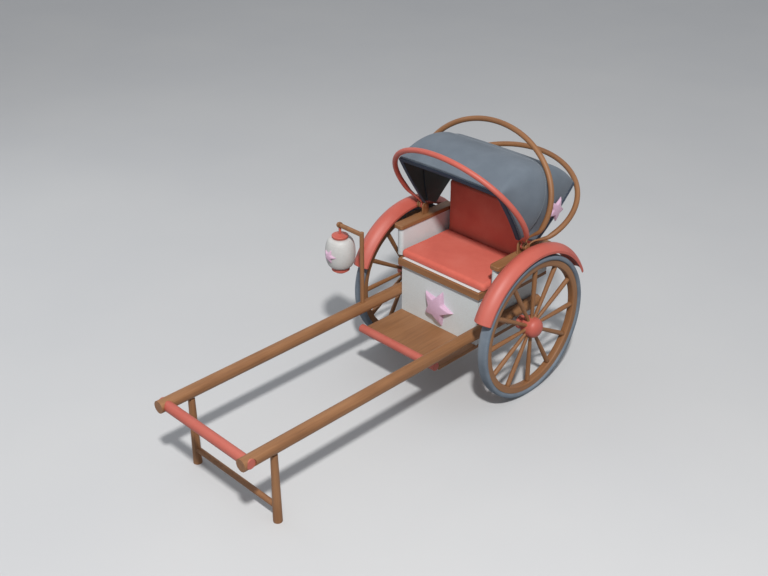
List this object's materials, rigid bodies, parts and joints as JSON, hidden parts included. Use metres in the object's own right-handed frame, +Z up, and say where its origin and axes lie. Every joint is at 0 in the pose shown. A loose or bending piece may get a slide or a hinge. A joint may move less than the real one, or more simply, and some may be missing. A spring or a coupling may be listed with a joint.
{
  "type": "pulled rickshaw",
  "caption": "Pulled passenger rickshaw with spoked wheels, long shafts on a front stand, boxed seat with arm rests, folding hooped hood and a hanging lantern.",
  "frame": {"origin": "on the ground under the middle of the bounding box", "axes": "+Z up, -Y the way it is pulled (the shafts point to -Y), +X the passenger's left-hand side"},
  "size_m": [1.2115, 2.7232, 1.5797],
  "materials": {
    "wood": "oiled",
    "red_paint": "semi-gloss",
    "white_paint": "semi-gloss",
    "grey_rubber": "matt",
    "steel": "satin",
    "iron": "matt",
    "red_cloth": "matt",
    "slate_cloth": "matt",
    "pink_cloth": "matt",
    "paper": "matt"
  },
  "bodies": {
    "frame": {"foot_board": "wood", "foot_bar": "red_paint", "box_front": "white_paint", "box_rear": "white_paint", "box_left": "white_paint", "box_right": "white_paint", "seat_deck": "white_paint", "seat_trim": "wood", "arm_rail_left": "wood", "arm_rail_right": "wood", "arm_panel_left": "white_paint", "arm_panel_right": "white_paint", "arm_cap_left": "wood", "arm_cap_right": "wood", "seat_cushion": "red_cloth", "back_cushion": "red_cloth", "back_board": "white_paint", "shaft_left": "wood", "shaft_right": "wood", "cross_bar": "red_paint", "front_stand": "wood", "axle": "steel", "axle_clip_left": "iron", "axle_clip_right": "iron", "mudguard_left": "red_paint", "mudguard_right": "red_paint", "guard_iron_left": "iron", "guard_iron_right": "iron", "hood_plate_left": "wood", "hood_plate_right": "wood", "bow_rear": "wood", "canopy_rear": "slate_cloth", "lantern_post": "wood", "star_box": "pink_cloth", "star_hood_left": "pink_cloth", "star_hood_right": "pink_cloth"},
    "wheel_left": {"tyre_left": "grey_rubber", "rim_left": "wood", "hub_left": "red_paint"},
    "wheel_right": {"tyre_right": "grey_rubber", "rim_right": "wood", "hub_right": "red_paint"},
    "hood_mid": {"bow_mid": "wood"},
    "hood_front": {"bow_front": "red_paint", "canopy_front": "slate_cloth"},
    "lantern": {"lantern_hanger": "red_paint", "lantern_cap": "red_paint", "lantern_globe": "paper", "lantern_foot": "red_paint", "star_lantern": "pink_cloth"}
  },
  "joints": [
    {"name": "wheel_left_spin", "type": "hinge", "parent": "frame", "child": "wheel_left", "pos_m": [0.53675, 0.71629, 0.46], "axis": [1, 0, 0], "continuous": true},
    {"name": "wheel_right_spin", "type": "hinge", "parent": "frame", "child": "wheel_right", "pos_m": [-0.48525, 0.71629, 0.46], "axis": [1, 0, 0], "continuous": true},
    {"name": "hood_fold", "type": "hinge", "parent": "frame", "child": "hood_mid", "pos_m": [0.02575, 0.72829, 0.96], "axis": [-1, 0, 0], "range_deg": [0, 32.1], "deforming": ["canopy_rear", "star_hood_left", "star_hood_right"]},
    {"name": "hood_front_fold", "type": "hinge", "parent": "hood_mid", "child": "hood_front", "pos_m": [0.02575, 0.72829, 0.96], "axis": [-1, 0, 0], "range_deg": [0, 38.3], "deforming": ["canopy_front"]},
    {"name": "lantern_swing", "type": "hinge", "parent": "frame", "child": "lantern", "pos_m": [-0.51225, 0.14129, 0.972], "axis": [1, 0, 0], "range_deg": [-35, 5]}
  ],
  "couplings": [
    {"joint": "hood_front_fold", "follows": "hood_fold", "ratio": 1.193}
  ]
}
